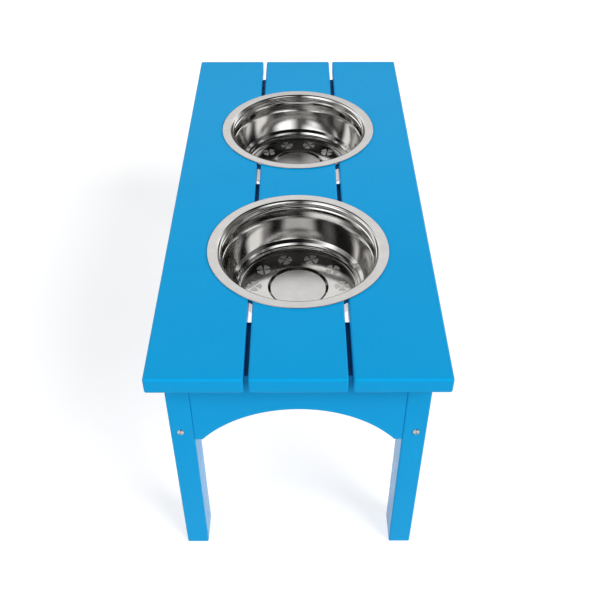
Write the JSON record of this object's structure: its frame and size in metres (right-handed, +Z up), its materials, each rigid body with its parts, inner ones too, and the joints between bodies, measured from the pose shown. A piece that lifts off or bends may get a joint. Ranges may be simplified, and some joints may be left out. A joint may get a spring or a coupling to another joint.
{
  "type": "double pet bowl stand",
  "caption": "Raised slatted stand with arched aprons and drop-in steel bowls that hold food and water for a pet and lift out by their flat rims.",
  "frame": {"origin": "on the floor under the middle of the table, halfway between the bowls", "axes": "+X across the table to the right, +Y along the table to the rear, +Z up"},
  "size_m": [0.313, 0.7, 0.3339],
  "materials": {
    "blue_board": "satin, solid colour, lightly brushed",
    "screw_steel": "bright",
    "bowl_steel": "polished inside with a satin rim"
  },
  "bodies": {
    "stand": {"left_slat": "blue_board", "right_slat": "blue_board", "centre_front_slat": "blue_board", "centre_middle_slat": "blue_board", "centre_rear_slat": "blue_board", "front_batten": "blue_board", "middle_batten": "blue_board", "rear_batten": "blue_board", "front_apron": "blue_board", "rear_apron": "blue_board", "left_rail": "blue_board", "right_rail": "blue_board", "front_left_leg": "blue_board", "front_right_leg": "blue_board", "rear_left_leg": "blue_board", "rear_right_leg": "blue_board", "rail_screws": "screw_steel", "apron_screws": "screw_steel", "batten_screws": "screw_steel", "slat_screws": "screw_steel"},
    "front_bowl": {"front_bowl": "bowl_steel"},
    "rear_bowl": {"rear_bowl": "bowl_steel"}
  },
  "joints": [
    {"name": "front_bowl_lift", "type": "slide", "parent": "stand", "child": "front_bowl", "axis": [0, 0, 1], "range_m": [0, 0.12]},
    {"name": "rear_bowl_lift", "type": "slide", "parent": "stand", "child": "rear_bowl", "axis": [0, 0, 1], "range_m": [0, 0.12]}
  ]
}
